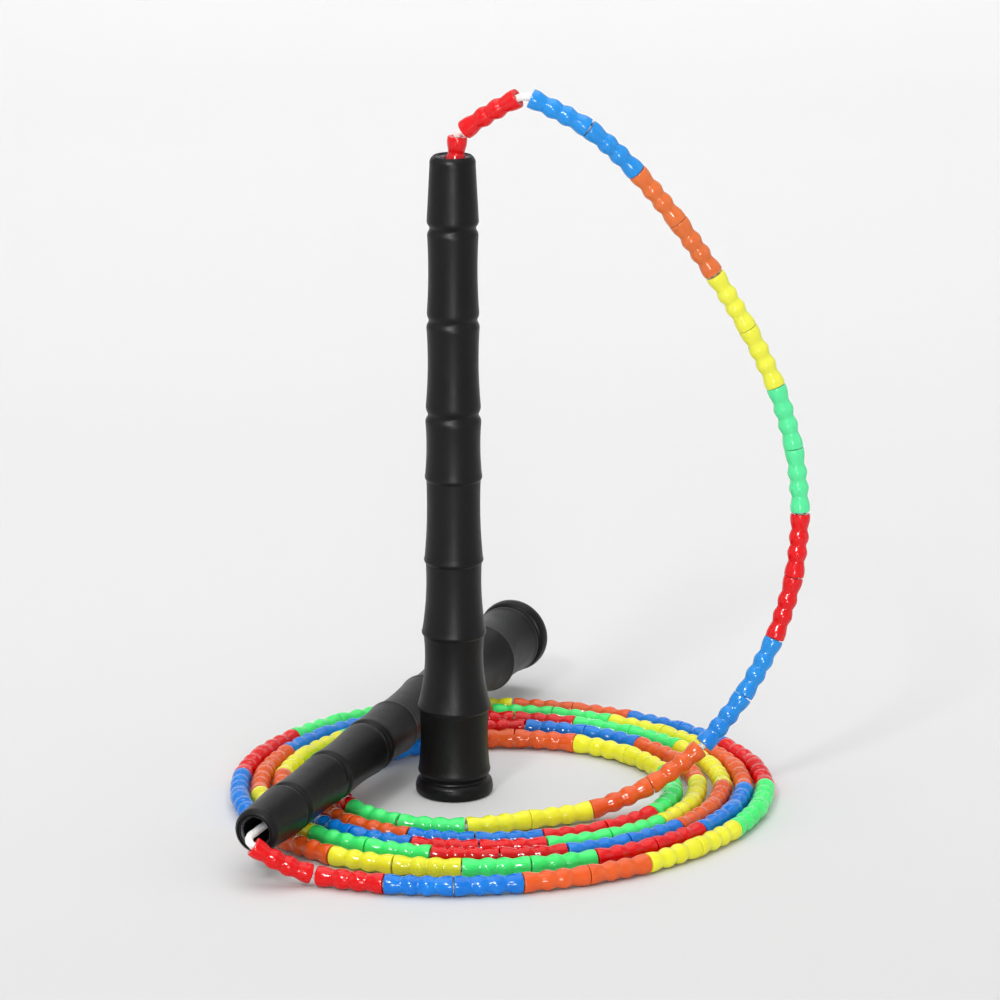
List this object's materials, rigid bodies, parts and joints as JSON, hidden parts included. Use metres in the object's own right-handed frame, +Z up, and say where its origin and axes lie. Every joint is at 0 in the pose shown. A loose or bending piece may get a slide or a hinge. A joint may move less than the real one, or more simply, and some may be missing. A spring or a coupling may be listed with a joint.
{
  "type": "jump rope",
  "caption": "Jump rope of coloured ribbed plastic beads threaded on a white cord, with two long dark bamboo-shaped handles whose cord ends swivel in the mouths.",
  "frame": {"origin": "centre of the standing handle's foot, on the floor", "axes": "+Z up along the standing handle, +X to the right over the coil, +Y towards the back"},
  "size_m": [0.2239, 0.259, 0.2793],
  "materials": {
    "grip": "satin, fine moulded grain",
    "foot": "satin, slightly shinier than the grip",
    "bush": "smooth grey",
    "washer": "smooth, natural nylon",
    "cord": "braided, white",
    "bead_red": "soft gloss",
    "bead_blue": "soft gloss",
    "bead_orange": "soft gloss",
    "bead_yellow": "soft gloss",
    "bead_green": "soft gloss"
  },
  "bodies": {
    "handle_a": {"grip_a": "grip", "foot_a": "foot", "bush_a": "bush"},
    "washer_a": {"washer_a": "washer"},
    "rope_end_a": {"cord_end_a": "cord", "stub_red": "bead_red"},
    "handle_b": {"grip_b": "grip", "foot_b": "foot", "bush_b": "bush"},
    "washer_b": {"washer_b": "washer"},
    "rope_end_b": {"cord_end_b": "cord"},
    "arc1": {"arc1_red": "bead_red", "arc1_cord": "cord"},
    "arc2": {"arc2_blue": "bead_blue", "arc2_orange": "bead_orange", "arc2_cord": "cord"},
    "arc3": {"arc3_yellow": "bead_yellow", "arc3_green": "bead_green", "arc3_cord": "cord"},
    "arc4": {"arc4_red": "bead_red", "arc4_blue": "bead_blue", "arc4_cord": "cord"},
    "coil1": {"coil1_red": "bead_red", "coil1_blue": "bead_blue", "coil1_orange": "bead_orange", "coil1_yellow": "bead_yellow", "coil1_green": "bead_green", "coil1_cord": "cord"},
    "coil2": {"coil2_red": "bead_red", "coil2_blue": "bead_blue", "coil2_orange": "bead_orange", "coil2_yellow": "bead_yellow", "coil2_green": "bead_green", "coil2_cord": "cord"},
    "coil3": {"coil3_red": "bead_red", "coil3_blue": "bead_blue", "coil3_orange": "bead_orange", "coil3_yellow": "bead_yellow", "coil3_green": "bead_green", "coil3_cord": "cord"},
    "coil4": {"coil4_red": "bead_red", "coil4_blue": "bead_blue", "coil4_orange": "bead_orange", "coil4_yellow": "bead_yellow", "coil4_green": "bead_green", "coil4_cord": "cord"},
    "coil5": {"coil5_red": "bead_red", "coil5_blue": "bead_blue", "coil5_orange": "bead_orange", "coil5_yellow": "bead_yellow", "coil5_green": "bead_green", "coil5_cord": "cord"},
    "tail": {"tail_red": "bead_red", "tail_cord": "cord"}
  },
  "joints": [
    {"name": "arch_lift", "type": "hinge", "parent": "coil1", "child": "arc4", "pos_m": [0.09532, -0.02046, 0.02516], "axis": [0, 1, 0], "range_deg": [0, 15]},
    {"name": "arch_bend_right", "type": "hinge", "parent": "arc4", "child": "arc3", "pos_m": [0.13282, -0.00292, 0.11369], "axis": [0, 1, 0], "range_deg": [-3.75, 0]},
    {"name": "arch_bend_top", "type": "hinge", "parent": "arc3", "child": "arc2", "pos_m": [0.09859, -0.00185, 0.20703], "axis": [0, 1, 0], "range_deg": [-3.75, 0]},
    {"name": "arch_bend_left", "type": "hinge", "parent": "arc2", "child": "arc1", "pos_m": [0.0266, -0.0102, 0.2769], "axis": [0, 1, 0], "range_deg": [-3.75, 0]},
    {"name": "mouth_bend_a", "type": "hinge", "parent": "arc1", "child": "rope_end_a", "pos_m": [0.0026, -0.0004, 0.2611], "axis": [0, 1, 0], "range_deg": [-3.75, 0]},
    {"name": "swivel_a", "type": "hinge", "parent": "rope_end_a", "child": "washer_a", "pos_m": [0, 0, 0.2248], "axis": [0, 0, 1], "continuous": true},
    {"name": "slide_a", "type": "slide", "parent": "washer_a", "child": "handle_a", "axis": [0, 0, 1], "range_m": [-0.012, 0.0035]},
    {"name": "coil_lift_2", "type": "hinge", "parent": "coil1", "child": "coil2", "pos_m": [0.02817, 0.06416, 0.00395], "axis": [0, 1, 0], "range_deg": [0, 8]},
    {"name": "coil_lift_3", "type": "hinge", "parent": "coil2", "child": "coil3", "pos_m": [0.02377, 0.07461, 0.00395], "axis": [0, 1, 0], "range_deg": [0, 8]},
    {"name": "coil_lift_4", "type": "hinge", "parent": "coil3", "child": "coil4", "pos_m": [0.01446, 0.08445, 0.00395], "axis": [0, 1, 0], "range_deg": [0, 8]},
    {"name": "coil_lift_5", "type": "hinge", "parent": "coil4", "child": "coil5", "pos_m": [0.02318, 0.09191, 0.00395], "axis": [0, 1, 0], "range_deg": [0, 8]},
    {"name": "handle_lift_b", "type": "hinge", "parent": "coil5", "child": "tail", "pos_m": [-0.0504, -0.1046, 0.00395], "axis": [0.9235, -0.3836, 0], "range_deg": [0, 85]},
    {"name": "handle_swing_b", "type": "hinge", "parent": "tail", "child": "rope_end_b", "pos_m": [-0.07403, -0.10219, 0.01818], "axis": [0, 0, 1], "range_deg": [-1.5, 50]},
    {"name": "swivel_b", "type": "hinge", "parent": "rope_end_b", "child": "washer_b", "pos_m": [-0.06207, -0.07338, 0.0187], "axis": [-0.3835, -0.9234, -0.0165], "continuous": true},
    {"name": "slide_b", "type": "slide", "parent": "washer_b", "child": "handle_b", "axis": [-0.3835, -0.9234, -0.0165], "range_m": [-0.012, 0.0015]}
  ],
  "couplings": [
    {"joint": "arch_bend_right", "follows": "arch_lift", "ratio": -0.25},
    {"joint": "arch_bend_top", "follows": "arch_lift", "ratio": -0.25},
    {"joint": "arch_bend_left", "follows": "arch_lift", "ratio": -0.25},
    {"joint": "mouth_bend_a", "follows": "arch_lift", "ratio": -0.25}
  ]
}
